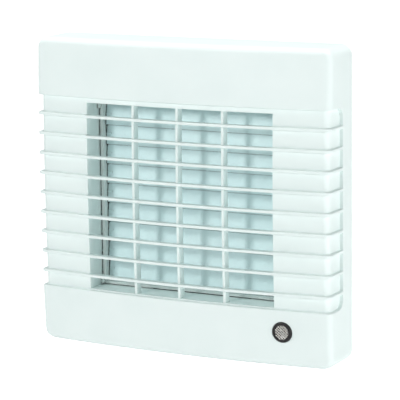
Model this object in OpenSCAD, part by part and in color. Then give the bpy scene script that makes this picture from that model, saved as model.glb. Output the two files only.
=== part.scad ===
// Indoor unit of a single-room heat recovery ventilator.
// Millimetres. The wall plane is Y = 0, the room is on the -Y side, +Z is up,
// and the spigot's axis is the Y axis.

/* [Front cover] */
// Width of the front cover
cover_w = 180; // [176:1:216]
// Height of the front cover
cover_h = 173; // [172:1:210]
// Depth of the cover from the wall to the crown of its front
cover_d = 34.5; // [33:0.5:42]
// How far the side edges of the front lie behind its crown
crown_side = 5.4; // [4:0.1:7]
// How far the top and bottom edges of the front lie behind its crown
crown_up = 2.4; // [1:0.1:3]
// Corner radius of the cover seen from the front
corner_r = 6; // [3:0.5:10]
// Rounding where the front turns into the sides
edge_r = 3.6; // [2:0.2:4]
// Wall of the cover behind the recess
wall_t = 2; // [1.6:0.1:2.6]
// Depth of the ribbed recess
recess_d = 2; // [1:0.1:2.4]
// Height of the recess above the spigot axis
recess_top = 54; // [53:0.5:58]
// Depth of the recess below the spigot axis
recess_bottom = 54.8; // [54.5:0.1:58]
// Plain band of the side behind the recess
side_band = 12.4; // [9:0.2:14]

/* [Grille] */
// Width of the grille opening
grille_w = 113.8; // [104:0.2:116]
// Height of the grille opening
grille_h = 105.4; // [104:0.2:106]
// Height of the grille's centre above the spigot axis
grille_z = -1.4; // [-2:0.1:0]
// Number of ribs
rib_count = 9; // [7:1:11]
// Spacing of the ribs
rib_pitch = 11.26; // [9:0.01:11.4]
// Thickness of a rib
rib_t = 1.4; // [1:0.1:2]
// Depth of a rib where it crosses the opening
slat_d = 4.8; // [3:0.1:6]
// Number of upright bars
bar_count = 3; // [1:1:5]
// Spacing of the upright bars
bar_pitch = 27.4; // [18:0.1:28]
// Thickness of an upright bar
bar_t = 1.55; // [1:0.05:2.5]
// Depth of an upright bar
bar_d = 5.5; // [3:0.1:6]
// How far the upright bars stand behind the ribs
bar_set = 2.6; // [1:0.1:3]
// Wall of the tunnel behind the grille
tunnel_t = 1.8; // [1.2:0.1:2]

/* [Shutter] */
// Thickness of a blade
blade_t = 1; // [0.8:0.1:1.2]
// Overlap of neighbouring blades when closed
blade_overlap = 1; // [0.6:0.1:1.4]
// Tilt of a closed blade
blade_tilt = 7; // [6:0.5:8]
// Swing of a blade from closed to open
blade_swing = 76; // [60:1:78]
// Distance of the blade pivots from the wall
pivot_y = 10.8; // [10.8:0.1:11.2]
// Radius of a blade pivot
pivot_r = 1.25; // [1:0.05:1.4]
// Length of a crank
crank_r = 3.2; // [2.8:0.1:3.2]
// Radius of a crank pin
pin_r = 0.8; // [0.6:0.05:0.9]

/* [Duct and fan] */
// Outer radius of the spigot
spigot_r = 61.7; // [58:0.1:62]
// Length of the spigot behind the wall plane
spigot_len = 60; // [56:1:64]
// Wall of the spigot
spigot_t = 2.2; // [1.6:0.1:2.6]
// Radius at the tips of the impeller blades
fan_r = 56; // [50:0.2:56.2]
// Radius of the impeller hub
hub_r = 20; // [19.5:0.5:24]
// Number of impeller blades
fan_blades = 7; // [5:1:9]
// Radius of the motor shaft
shaft_r = 1.5; // [1.2:0.1:1.6]
// Length of the ceramic core
core_len = 28; // [20:1:28]
// Spacing of the core's channels
core_pitch = 6.4; // [5:0.2:9]
// Wall between two channels
core_wall = 1.4; // [0.8:0.1:2]
// Thickness of a filter
filter_t = 3; // [2:0.5:3]

/* [Fixings] */
// Distance between the wall screws across the unit
wall_screw_x = 152; // [148:1:156]
// Distance between the wall screws up the unit
wall_screw_z = 100; // [80:1:110]
// Radius of a wall screw hole
wall_hole_r = 2.3; // [2.1:0.1:2.8]
// Radius of the cable entry
cable_r = 5; // [4:0.25:6]

/* [Sensor] */
// Sideways place of the sensor
sensor_x = 62; // [50:1:66]
// Distance of the sensor below the spigot axis
sensor_z = 67; // [66:0.5:68]
// Radius of the sensor bezel
sensor_r = 5.5; // [5:0.1:6]

/* [Hidden] */
$fn = 64;

// clearances shared by the pieces
fit = 0.3;      // between loose neighbours
snug = 0.05;    // radial, round a pin or a screw
far = 400;      // longer than the whole unit

// crown of the cover's front
plan_r = arc_r(cover_w, crown_side);
side_r = arc_r(cover_h, crown_up);
cover_back = 0.3;
cavity_in = recess_d + wall_t;

// grille
grille_top = grille_z + grille_h / 2;
grille_bottom = grille_z - grille_h / 2;
tunnel_back = -15.6;

// shutter frame, inside the tunnel's mouth
frame_front = -16;
frame_w = grille_w - 2 * fit;
frame_t = 2;
frame_top = grille_top - fit;
frame_bottom = grille_bottom + fit;
frame_lip = 1.7;
window_top = frame_top - frame_lip;
window_bottom = frame_bottom + frame_lip;
window_w = frame_w - 2 * frame_t;

// stack on the base plate
plate_t = 2.5;
flange_t = 1.5;
seat_y = -plate_t - flange_t;

// shutter blades, one node each; a turning blade's corners reach a little past half its height
blade_count = 9;
blade_off = 0.9;
blade_room = 0.2;
blade_span = window_top - window_bottom - 2 * fit;
blade_pitch = (blade_span - blade_overlap - 2 * blade_room) / blade_count;
blade_h = blade_pitch + blade_overlap;
blade_w = window_w - 2 * fit;
crank_x = frame_w / 2 + 0.4;
crank_t = 1.4;
link_x = crank_x + crank_t + 0.8;
link_t = 1.8;
slot_gap = 0.12;
crank_half = blade_swing / 2;
link_travel = 2 * crank_r * sin(crank_half);
link_front = pivot_y + crank_r + pin_r + 1.8;
link_back = pivot_y + crank_r * cos(crank_half) - pin_r - 1.6;

// duct
bore_r = spigot_r - spigot_t;
fan_ring_r = bore_r - fit;
fan_bore_r = fan_r + 1.2;
fan_back = 20;
flange_r = spigot_r + 3.2;
collar_t = 0.8;
neck_r = spigot_r - 0.6;    // relief at the root, so a duct seats square on the plate
ear_r = 68;
filter_y = fan_back + 0.3;
core_y = filter_y + filter_t + 0.3;
core_r = bore_r - 2;
wall_filter_y = core_y + core_len + 0.3;
retainer_y = wall_filter_y + filter_t + 0.3;

// motor
hub_front = -2.2;
hub_t = 1.6;
hub_len = 15;
cup_r = hub_r - hub_t - snug;
cup_t = 0.9;
magnet_r = cup_r - cup_t - snug;
magnet_t = 2.4;
stator_r = magnet_r - magnet_t - 0.4;
tube_r = 5;
bearing_r = 3.4;
bearing_len = 3;
motor_seat_y = fan_back - 2;

// electronics
board_y = -9.6;
board_t = 1.6;
inner_w = cover_w - 2 * cavity_in;
inner_h = cover_h - 2 * cavity_in;
base_w = inner_w - 2 * fit;
base_h = inner_h - 2 * fit;
board_x = [-42, base_w / 2 - 5.7];
board_z = [-base_h / 2 + 2.2, -58];

function arc_r(chord, sag) = (chord * chord / 4 + sag * sag) / (2 * sag);
function sag(r, x) = r - sqrt(r * r - x * x);
function front_y(x, z) = -cover_d + sag(plan_r, x) + sag(side_r, z);
function rib_z(k) = grille_z + rib_pitch * ((rib_count - 1) / 2 - k);
function blade_z(k) = window_top - fit - blade_room - blade_h / 2 - blade_pitch * k;

// ---------- shared shapes ----------

// cylinder along Y, from y to y + len
module rod(r, y, len) {
    translate([0, y, 0])
        rotate([-90, 0, 0])
            cylinder(r = r, h = len);
}

// ring along Y
module ring(outer, inner, y, len) {
    difference() {
        rod(outer, y, len);
        rod(inner, y - 1, len + 2);
    }
}

// box from its low and high corners
module block(low, high) {
    translate(low)
        cube(high - low);
}

// rounded rectangle as points
function rounded(w, h, r, steps = 6) = [for (c = [0:3]) for (i = [0:steps])
    let (a = 90 * c + 90 * i / steps,
        cx = (c == 0 || c == 3) ? w / 2 - r : r - w / 2,
        cz = (c < 2) ? h / 2 - r : r - h / 2)
    [cx + r * cos(a), cz + r * sin(a)]];

// plate with rounded corners, from y to y + len
module plate(w, h, r, y, len) {
    translate([0, y + len, 0])
        rotate([90, 0, 0])
            linear_extrude(len)
                polygon(rounded(w, h, r));
}

// screw along Y with its head towards the room; y is the underside of the head
module screw(r, head_r, head_t, y, len) {
    difference() {
        union() {
            rod(r, y, len);
            rod(head_r, y - head_t, head_t);
        }
        for (a = [0, 90])
            rotate([0, a, 0])
                block([-head_r * 0.7, y - head_t - 1, -0.35], [head_r * 0.7, y - head_t * 0.45, 0.35]);
    }
}

module at(points) {
    for (p = points)
        translate([p[0], 0, p[1]])
            children();
}

// ---------- front cover ----------

// the crowned front, turned about an upright axis behind the wall
module crown(inset) {
    half = cover_h / 2 - inset;
    steps = 8;
    edge = [for (i = [-steps:steps]) let (z = (half - edge_r) * i / steps)
        [plan_r - inset - sag(side_r, z), z]];
    end_r = plan_r - inset - sag(side_r, half - edge_r) - edge_r;
    round_up = [for (a = [22.5:22.5:90]) [end_r + edge_r * cos(a), half - edge_r + edge_r * sin(a)]];
    round_down = [for (a = [-90:22.5:-22.5]) [end_r + edge_r * cos(a), edge_r - half + edge_r * sin(a)]];
    behind = plan_r - cover_d - 20;
    translate([0, plan_r - cover_d, 0])
        rotate([0, 0, -100])
            rotate_extrude(angle = 20, $fn = 256)
                polygon(concat([[behind, -half]], round_down, edge, round_up, [[behind, half]]));
}

// plan outline with rounded front corners, open towards the crown
function plan_points(inset, back) = let (w = cover_w / 2 - inset,
        yc = front_y(w - edge_r, 0) + inset + edge_r - 0.4,
        corner = [for (i = [0:4]) let (a = 22.5 * i) [w - edge_r + edge_r * cos(a), yc - edge_r * sin(a)]],
        tip = [0, -cover_d - 8],
        mirrored = [for (i = [4:-1:0]) [-corner[i][0], corner[i][1]]])
    concat([[w, back]], corner, [tip], mirrored, [[-w, back]]);

// the cover's outer form, or the same form shrunk by inset, running back to y = back
module cover_form(inset, back) {
    intersection() {
        crown(inset);
        linear_extrude(far, center = true)
            polygon(plan_points(inset, back));
        plate(cover_w - 2 * inset, cover_h - 2 * inset, max(corner_r - inset, 1), -far / 4, far / 4 + back);
    }
}

function row_top(i) = (i == 0) ? recess_top : rib_z(i - 1) - rib_t / 2;
function row_bottom(i) = (i == rib_count) ? -recess_bottom : rib_z(i) + rib_t / 2;

// rows between the ribs
module rows(half_w, front, back) {
    for (i = [0:rib_count])
        block([-half_w, front, row_bottom(i)], [half_w, back, row_top(i)]);
}

module recess_cut() {
    difference() {
        rows(cover_w, -far / 4, -side_band);
        cover_form(recess_d, 1);
    }
}

module grille_box(grow, back) {
    block([-grille_w / 2 - grow, -far / 4, grille_bottom - grow],
        [grille_w / 2 + grow, back, grille_top + grow]);
}

module upright_bars() {
    for (i = [0:bar_count - 1]) {
        x = bar_pitch * (i - (bar_count - 1) / 2);
        intersection() {
            block([x - bar_t / 2, -far / 4, grille_bottom - 1], [x + bar_t / 2, 0, grille_top + 1]);
            difference() {
                cover_form(bar_set, 1);
                cover_form(bar_set + bar_d, 2);
            }
        }
    }
}

module grille_cut() {
    difference() {
        union() {
            intersection() {
                grille_box(0, 2);
                rows(grille_w, -far / 4, 2);
            }
            intersection() {
                grille_box(0, 2);
                cover_form(slat_d, 2);
            }
        }
        upright_bars();
    }
}

module front_cover() {
    color("#EDF7F3")
        difference() {
            cover_form(0, -cover_back);
            recess_cut();
            difference() {
                cover_form(cavity_in, 2);
                grille_box(tunnel_t, tunnel_back);
            }
            grille_cut();
            translate([sensor_x, 0, -sensor_z])
                rod(sensor_r + fit, -cover_d - 1, cover_d);
        }
}

// ---------- base plate ----------

wall_screw_at = [for (x = [-1, 1]) for (z = [-1, 1]) [x * wall_screw_x / 2, z * wall_screw_z / 2]];
fan_screw_at = [[ear_r, 0], [-ear_r, 0], [0, ear_r], [0, -ear_r]];
lug_x = 48;
lug_half = 3.5;
lug_t = 2;
lug_top = frame_top + lug_half;
lug_bottom = frame_bottom - lug_half;
lug_at = [[-lug_x, lug_top], [lug_x, lug_top], [-lug_x, lug_bottom], [lug_x, lug_bottom]];
board_screw_at = [[board_x[0] + 4, board_z[0] + 4], [board_x[0] + 4, board_z[1] - 4],
    [board_x[1] - 4, board_z[0] + 4], [board_x[1] - 4, board_z[1] - 4]];
rim_t = 1.8;
rim_d = 8;
gasket_r = spigot_r + 4.4;
gasket_in = spigot_r + 0.8;
gasket_t = 1;
cable_at = [-66, 69];
terminal_at = [-27, 68];
terminal_w = 42;
terminal_h = 15;
terminal_d = 15;
clamp_z = 7;
clamp_at = [[cable_at[0] + 13, cable_at[1] + clamp_z], [cable_at[0] + 13, cable_at[1] - clamp_z]];
actuator_x = -(link_x + link_t / 2);
actuator_r = 5;
actuator_top = -61.5;
actuator_len = 17;
actuator_y = -(pivot_y + crank_r);
actuator_ear = 8.5;
actuator_screw_z = actuator_top - actuator_len / 2;
actuator_screw_at = [[actuator_x - actuator_ear, actuator_screw_z],
    [actuator_x + actuator_ear, actuator_screw_z]];
post_r = 3;
small_r = 1.3;
small_head_r = 2.6;
small_head_t = 1.4;
screw_way_r = small_r + 0.2;
pilot_r = small_r + snug;
pilot_end = -0.5;
clamp_seat = 7;

module base_plate() {
    color("#E4E8E6")
        difference() {
            union() {
                plate(base_w, base_h, corner_r, -plate_t, plate_t);
                difference() {
                    plate(base_w, base_h, corner_r, -rim_d, rim_d - plate_t);
                    plate(base_w - 2 * rim_t, base_h - 2 * rim_t, corner_r - rim_t, -rim_d - 1, rim_d + 1);
                }
                at(lug_at)
                    rod(post_r, seat_y, -seat_y - plate_t);
                at(board_screw_at)
                    rod(post_r, board_y + board_t, -board_y - board_t - plate_t);
                at(actuator_screw_at)
                    rod(post_r, actuator_y + 1, -actuator_y - 1 - plate_t);
                at(clamp_at)
                    rod(post_r, -clamp_seat, clamp_seat - plate_t);
                translate([terminal_at[0], 0, terminal_at[1]])
                    block([-terminal_w / 2, -clamp_seat, -terminal_h / 2],
                        [terminal_w / 2, -plate_t, terminal_h / 2]);
            }
            rod(spigot_r + snug, -plate_t - 10, 20);
            rod(flange_r + snug, -plate_t - 10, 10 + collar_t);
            ring(gasket_r, gasket_in, -gasket_t, gasket_t + 1);
            at(wall_screw_at)
                rod(wall_hole_r, -20, 40);
            at(concat(fan_screw_at, lug_at, board_screw_at, actuator_screw_at, clamp_at))
                rod(pilot_r, pilot_end - 20, 20);
            at([cable_at])
                rod(cable_r + 2, -20, 40);
        }
}

module spigot() {
    color("#E4E8E6")
        difference() {
            union() {
                rod(spigot_r, 0, spigot_len);
                rod(neck_r, -plate_t, plate_t + 1);
                rod(flange_r, -plate_t, collar_t);
            }
            rod(bore_r, -plate_t - 1, spigot_len + plate_t + 2);
        }
}

module wall_gasket() {
    color("#3A3D40")
        ring(gasket_r - snug, gasket_in + snug, -gasket_t, gasket_t);
}

// ---------- fan ----------

strut_w = 3;

module fan_frame() {
    color("#2E3135")
        union() {
            difference() {
                union() {
                    rod(flange_r, seat_y, flange_t);
                    rod(fan_ring_r, seat_y, fan_back - seat_y);
                    for (a = [0, 90, 180, 270])
                        rotate([0, a, 0])
                            block([0, seat_y, -5], [ear_r + 4, -plate_t, 5]);
                }
                rod(fan_bore_r, seat_y - 1, fan_back - seat_y + 2);
                at(fan_screw_at)
                    rod(screw_way_r, seat_y - 1, flange_t + 2);
            }
            for (a = [45, 135, 225, 315])
                rotate([0, a, 0])
                    block([cup_r - 2, motor_seat_y, -strut_w / 2], [fan_bore_r + 0.5, fan_back, strut_w / 2]);
            difference() {
                union() {
                    rod(cup_r, motor_seat_y, fan_back - motor_seat_y);
                    rod(tube_r, hub_front + 3.4, motor_seat_y - hub_front - 3.4);
                }
                rod(bearing_r + snug, hub_front, bearing_len + 3.4);
                rod(bearing_r + snug, motor_seat_y - bearing_len, bearing_len + 10);
                rod(shaft_r + 0.8, hub_front, 40);
            }
        }
}

module fan_screws() {
    color("#B9BDC0")
        at(fan_screw_at)
            screw(small_r, 2.8, 1.6, seat_y, 3.2);
}

core_front = hub_front + 6;
core_back = motor_seat_y - 4.5;

tooth_half = 1.4;
yoke_r = tube_r + 3;
shoe_r = stator_r - 1.8;
tooth_foot = asin(tooth_half / yoke_r);
tooth_neck = asin(tooth_half / shoe_r);

// one tooth of the stator with its pole shoe, as [radius, angle]
spoke = [[yoke_r, -30], [yoke_r, -20], [yoke_r, -tooth_foot], [shoe_r, -tooth_neck], [shoe_r, -15],
    [shoe_r, -22], [stator_r, -21], [stator_r, -14], [stator_r, -7], [stator_r, 0], [stator_r, 7],
    [stator_r, 14], [stator_r, 21], [shoe_r, 22], [shoe_r, 15], [shoe_r, tooth_neck],
    [yoke_r, tooth_foot], [yoke_r, 20]];

module stator_core() {
    color("#8C9094")
        difference() {
            translate([0, core_back, 0])
                rotate([90, 0, 0])
                    linear_extrude(core_back - core_front)
                        polygon([for (a = [0:60:300]) for (p = spoke)
                            [p[0] * cos(a + p[1]), p[0] * sin(a + p[1])]]);
            rod(tube_r + snug, core_front - 1, 40);
        }
}

module stator_coils() {
    color("#B5622E")
        for (a = [0:60:300])
            rotate([0, a, 0])
                difference() {
                    block([tube_r + 3.6, core_front - 1.2, -2.9], [stator_r - 2.2, core_back + 1.2, 2.9]);
                    block([tube_r, core_front - snug, -tooth_half - snug],
                        [stator_r, core_back + snug, tooth_half + snug]);
                }
}

module motor_board() {
    color("#2F6B45")
        ring(cup_r - 3, tube_r + snug, motor_seat_y - board_t, board_t);
}

module bearing(y) {
    color("#C4C8CB")
        difference() {
            ring(bearing_r, shaft_r + 0.02, y, bearing_len);
            ring(bearing_r - 0.6, shaft_r + 0.6, y - 1, 1.3);
            ring(bearing_r - 0.6, shaft_r + 0.6, y + bearing_len - 0.3, 1.3);
        }
}

module front_bearing() {
    bearing(hub_front + 3.4);
}

module rear_bearing() {
    bearing(motor_seat_y - bearing_len);
}

clip_y = motor_seat_y + 0.5;

module motor_shaft() {
    color("#C4C8CB")
        difference() {
            rod(shaft_r, hub_front + hub_t, clip_y + 1.3 - hub_front - hub_t);
            ring(shaft_r + 1, shaft_r - 0.35, clip_y, 0.7);
        }
}

module shaft_clip() {
    color("#6E7276")
        difference() {
            ring(shaft_r + 0.7, shaft_r - 0.3, clip_y + 0.1, 0.5);
            block([0, clip_y - 1, -0.8], [shaft_r + 2, clip_y + 2, 0.8]);
        }
}

module rotor_cup() {
    color("#A9ADB1")
        difference() {
            rod(cup_r, hub_front + hub_t, hub_len - hub_t);
            rod(cup_r - cup_t, hub_front + hub_t + cup_t, hub_len);
            rod(shaft_r, hub_front, hub_len);
        }
}

module rotor_magnet() {
    color("#3B3B3F")
        ring(magnet_r, magnet_r - magnet_t, hub_front + hub_t + cup_t + 0.6, hub_len - hub_t - cup_t - 1);
}

blade_chord = 24;
blade_pitch_angle = 36;

module impeller() {
    color("#2B2E31")
        union() {
            difference() {
                rod(hub_r, hub_front, hub_len);
                rod(hub_r - hub_t, hub_front + hub_t, hub_len);
            }
            for (i = [0:fan_blades - 1])
                rotate([0, 360 * i / fan_blades, 0])
                    intersection() {
                        ring(fan_r, hub_r - 0.8, hub_front + 0.4, hub_len + 1);
                        translate([0, hub_front + hub_len / 2, 0])
                            rotate([blade_pitch_angle, 0, 0])
                                block([hub_r - 2, -0.7, -blade_chord / 2], [fan_r + 2, 0.7, blade_chord / 2]);
                    }
        }
}

// ---------- heat core ----------

module heat_core() {
    cells = floor(core_r / core_pitch);
    cell = core_pitch - core_wall;
    color("#D9CDBB")
        translate([0, core_y + core_len, 0])
            rotate([90, 0, 0])
                linear_extrude(core_len)
                    difference() {
                        circle(core_r);
                        for (i = [-cells:cells])
                            for (j = [-cells:cells])
                                if (norm([i, j]) * core_pitch < core_r - core_pitch * 0.75)
                                    translate([i * core_pitch, j * core_pitch])
                                        square(cell, center = true);
                    }
}

module core_seals() {
    color("#3A3D40")
        for (y = [core_y + 2, core_y + core_len - 6])
            ring(bore_r - 0.05, core_r + 0.05, y, 4);
}

module filter_disc(y) {
    color("#5C6166")
        rod(bore_r - 0.3, y, filter_t);
}

module fan_side_filter() {
    filter_disc(filter_y);
}

module wall_side_filter() {
    filter_disc(wall_filter_y);
}

module core_retainer() {
    color("#E4E8E6")
        union() {
            ring(bore_r - 0.1, bore_r - 3, retainer_y, 1.8);
            for (a = [0, 90])
                rotate([0, a, 0])
                    block([-bore_r + 2, retainer_y, -1.5], [bore_r - 2, retainer_y + 1.8, 1.5]);
        }
}

// ---------- shutter ----------

guide_top = [frame_top - 4.4, frame_top - 0.4];
guide_bottom = [frame_bottom + 0.4, frame_bottom + 3.4];
link_clear = 0.25;

module shutter_frame() {
    color("#E9F0EE")
        difference() {
            union() {
                block([-frame_w / 2, frame_front, frame_bottom], [frame_w / 2, seat_y, frame_top]);
                for (p = lug_at)
                    block([p[0] - 4, seat_y - lug_t, (p[1] > 0) ? frame_top - 1 : p[1] - lug_half],
                        [p[0] + 4, seat_y, (p[1] > 0) ? p[1] + lug_half : frame_bottom + 1]);
                for (g = [guide_top, guide_bottom])
                    block([-link_x - link_t - 1.6, -link_front - 1.6, g[0]],
                        [-frame_w / 2 + 1, -link_back + 1.6, g[1]]);
            }
            block([-window_w / 2, frame_front - 1, window_bottom], [window_w / 2, seat_y + 1, window_top]);
            for (g = [guide_top, guide_bottom])
                block([-link_x - link_t - link_clear, -link_front - link_clear, g[0] - 1],
                    [-link_x + link_clear, -link_back + link_clear, g[1] + 1]);
            // clears the end of the cover's tunnel
            difference() {
                block([-far, -far, -far], [far, tunnel_back + fit, far]);
                block([-frame_w / 2, -far, frame_bottom], [frame_w / 2, 0, frame_top]);
            }
            for (k = [0:blade_count - 1])
                translate([-far, -pivot_y, blade_z(k)])
                    rotate([0, 90, 0])
                        cylinder(r = pivot_r + snug, h = 2 * far);
            at(lug_at)
                rod(screw_way_r, seat_y - lug_t - 1, lug_t + 2);
        }
}

// one blade, closed, with its pivots, crank and crank pin
module shutter_blade(k) {
    color("#DDEDE9")
        translate([0, -pivot_y, blade_z(k)])
            union() {
                rotate([-blade_tilt, 0, 0])
                    block([-blade_w / 2, -blade_off - blade_t / 2, -blade_h / 2],
                        [blade_w / 2, -blade_off + blade_t / 2, blade_h / 2]);
                for (x = [-blade_w / 2, blade_w / 2 - 3])
                    translate([x, 0, 0])
                        rotate([0, 90, 0])
                            cylinder(r = pivot_r + 0.35, h = 3);
                translate([-crank_x - crank_t, 0, 0])
                    rotate([0, 90, 0])
                        cylinder(r = pivot_r, h = crank_x + crank_t - blade_w / 2 + 1);
                translate([blade_w / 2 - 1, 0, 0])
                    rotate([0, 90, 0])
                        cylinder(r = pivot_r, h = frame_w / 2 - blade_w / 2 + 0.6);
                rotate([crank_half, 0, 0])
                    translate([-crank_x - crank_t, 0, 0]) {
                        rotate([0, 90, 0])
                            cylinder(r = 1.9, h = crank_t);
                        block([0, -crank_r, -1.2], [crank_t, 0, 1.2]);
                        translate([0, -crank_r, 0])
                            rotate([0, 90, 0])
                                cylinder(r = 1.3, h = crank_t);
                        translate([-link_t - 1.4, -crank_r, 0])
                            rotate([0, 90, 0])
                                cylinder(r = pin_r, h = link_t + 1.4 + crank_t);
                    }
            }
}

module shutter_blade_1() { shutter_blade(0); }
module shutter_blade_2() { shutter_blade(1); }
module shutter_blade_3() { shutter_blade(2); }
module shutter_blade_4() { shutter_blade(3); }
module shutter_blade_5() { shutter_blade(4); }
module shutter_blade_6() { shutter_blade(5); }
module shutter_blade_7() { shutter_blade(6); }
module shutter_blade_8() { shutter_blade(7); }
module shutter_blade_9() { shutter_blade(8); }

// the pins start low and rise as the blades open
pin_low = -crank_r * sin(crank_half);
link_foot = 2;
link_bottom = guide_bottom[0] - link_travel - 0.4;
link_top = frame_top + 1;

module shutter_link() {
    color("#C9D2D0")
        difference() {
            union() {
                block([-link_x - link_t, -link_front, link_bottom], [-link_x, -link_back, link_top]);
                block([-link_x - link_t - 1, -link_front - 1, link_bottom - link_foot],
                    [-link_x, -link_back + 1, link_bottom]);
            }
            for (k = [0:blade_count - 1])
                block([-link_x - link_t - 1, -pivot_y - crank_r - pin_r - 0.15,
                    blade_z(k) + pin_low - pin_r - slot_gap],
                    [-link_x + 1, -pivot_y - crank_r * cos(crank_half) + pin_r + 0.15,
                    blade_z(k) + pin_low + pin_r + slot_gap]);
        }
}

module shutter_screws() {
    color("#B9BDC0")
        at(lug_at)
            screw(small_r, small_head_r, small_head_t, seat_y - lug_t, 4.6);
}

// ---------- actuator ----------

plunger_r = 1.5;
plunger_in = 6;

module actuator_body() {
    color("#F2F2EE")
        difference() {
            union() {
                translate([actuator_x, actuator_y, actuator_top - actuator_len])
                    cylinder(r = actuator_r, h = actuator_len);
                block([actuator_x - actuator_ear - 3, actuator_y - 1, actuator_screw_z - 3.5],
                    [actuator_x + actuator_ear + 3, actuator_y + 1, actuator_screw_z + 3.5]);
                translate([actuator_x, actuator_y, actuator_top - 0.5])
                    cylinder(r = 3, h = 1.7);
            }
            translate([actuator_x, actuator_y, actuator_top - 12])
                cylinder(r = plunger_r + snug, h = 30);
            at(actuator_screw_at)
                rod(screw_way_r, actuator_y - 3, 8);
        }
}

module actuator_plunger() {
    color("#C4C8CB")
        translate([actuator_x, actuator_y, actuator_top - plunger_in])
            cylinder(r = plunger_r, h = link_bottom - link_foot - actuator_top + plunger_in);
}

module actuator_screws() {
    color("#B9BDC0")
        at(actuator_screw_at)
            screw(small_r, small_head_r, small_head_t, actuator_y - 1, 8);
}

// ---------- electronics ----------

module control_board() {
    color("#2F6B45")
        difference() {
            block([board_x[0], board_y, board_z[0]], [board_x[1], board_y + board_t, board_z[1]]);
            at(board_screw_at)
                rod(screw_way_r, board_y - 1, 4);
        }
}

module board_screws() {
    color("#B9BDC0")
        at(board_screw_at)
            screw(small_r, small_head_r, small_head_t, board_y, 6);
}

// a piece lying on the board's front, from its low corner
module on_board(x, z, w, h, d) {
    translate([x, board_y - d, z])
        cube([w, d, h]);
}

module transformer() {
    color("#D8B23A")
        union() {
            on_board(-30, -78, 22, 17, 3);
            on_board(-27, -78, 16, 17, 13);
            on_board(-30, -74.5, 22, 10, 11);
        }
}

module relay() {
    color("#23262A")
        on_board(-4, -78, 16, 12, 11.5);
}

capacitor_at = [[19, -64.5, 4, 11], [19, -74, 4, 11], [29, -75, 3, 8]];

module capacitors() {
    color("#2B3A5C")
        for (c = capacitor_at)
            translate([c[0], 0, c[1]])
                rod(c[2], board_y - c[3], c[3]);
}

module board_chips() {
    color("#1E2022")
        union() {
            on_board(-4, -64, 10, 5, 1.8);
            on_board(36, -79, 9, 6, 1.6);
            on_board(9, -63.5, 4, 4, 1.4);
            on_board(27, -66, 4, 3, 1.4);
        }
}

knob_at = [[37, -66], [47, -66]];
knob_r = 2.6;

module trimmer_bases() {
    color("#2D4F9E")
        for (p = knob_at)
            difference() {
                on_board(p[0] - 4, p[1] - 4, 8, 8, 4);
                translate([p[0], 0, p[1]])
                    rod(knob_r + snug, board_y - 5, 4);
            }
}

module trimmer_knob(p) {
    color("#F4F4F0")
        translate([p[0], 0, p[1]])
            difference() {
                rod(knob_r, board_y - 5.2, 4.1);
                block([-knob_r - 1, board_y - 7, -0.4], [knob_r + 1, board_y - 4.4, 0.4]);
                block([-0.4, board_y - 7, 0], [0.4, board_y - 4.4, knob_r + 1]);
            }
}

module timer_knob() {
    trimmer_knob(knob_at[0]);
}

module humidity_knob() {
    trimmer_knob(knob_at[1]);
}

bezel_front = front_y(sensor_x, sensor_z) - 0.9;
bezel_d = 5;
holder_r = 4.6;

module sensor_holder() {
    color("#E9F0EE")
        translate([sensor_x, 0, -sensor_z])
            ring(holder_r, holder_r - 1.4, bezel_front + bezel_d, board_y - bezel_front - bezel_d);
}

module sensor_bezel() {
    color("#3A3835")
        translate([sensor_x, 0, -sensor_z])
            difference() {
                rod(sensor_r, bezel_front, bezel_d);
                rod(sensor_r - 1.5, bezel_front - 1, 1.6);
                rod(sensor_r - 2.2, bezel_front - 1, bezel_d + 2);
            }
}

module sensor_mesh() {
    color("#B9B4A8")
        translate([sensor_x, 0, -sensor_z])
            rod(sensor_r - 1.5 - snug, bezel_front + 0.2, 0.4);
}

module sensor_element() {
    color("#F2F2EE")
        translate([sensor_x, 0, -sensor_z])
            union() {
                rod(holder_r - 1.4 - snug, board_y - 12, 12);
                block([-2, board_y - 13, -2], [2, board_y - 12, 2]);
            }
}

poles = 4;
terminal_front = -clamp_seat - terminal_d;
terminal_row = 3.6;
terminal_screw_r = 2.1;
terminal_sunk = 3;
pole_pitch = terminal_w / poles;

module terminal_block() {
    color("#F2F2EE")
        translate([terminal_at[0], 0, terminal_at[1]])
            difference() {
                block([-terminal_w / 2, terminal_front, -terminal_h / 2],
                    [terminal_w / 2, -clamp_seat, terminal_h / 2]);
                for (i = [0:poles - 1]) {
                    x = pole_pitch * (i + 0.5) - terminal_w / 2;
                    for (s = [-1, 1]) {
                        translate([x, 0, s * terminal_row])
                            rod(terminal_screw_r + 0.1, terminal_front - 1, terminal_sunk + 5);
                        translate([x, -clamp_seat - 4, s * terminal_h / 2])
                            rotate([s * 90, 0, 0])
                                translate([0, 0, -6])
                                    cylinder(r = 1.8, h = 8);
                    }
                }
                for (i = [1:poles - 1])
                    block([pole_pitch * i - terminal_w / 2 - 0.5, terminal_front - 1, -terminal_h],
                        [pole_pitch * i - terminal_w / 2 + 0.5, terminal_front + 2, terminal_h]);
            }
}

module terminal_screws() {
    color("#C9B37A")
        translate([terminal_at[0], 0, terminal_at[1]])
            for (i = [0:poles - 1])
                for (s = [-1, 1])
                    translate([pole_pitch * (i + 0.5) - terminal_w / 2, 0, s * terminal_row])
                        difference() {
                            rod(terminal_screw_r, terminal_front + terminal_sunk, 4);
                            block([-3, terminal_front + terminal_sunk - 1, -0.4],
                                [3, terminal_front + terminal_sunk + 0.8, 0.4]);
                        }
}

module cable_grommet() {
    color("#26282A")
        at([cable_at])
            difference() {
                union() {
                    rod(cable_r + 2 - snug, -plate_t - 1, plate_t + 1);
                    rod(cable_r + 3.6, -plate_t - 2, 2);
                }
                rod(cable_r, -plate_t - 4, plate_t + 8);
            }
}

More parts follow.
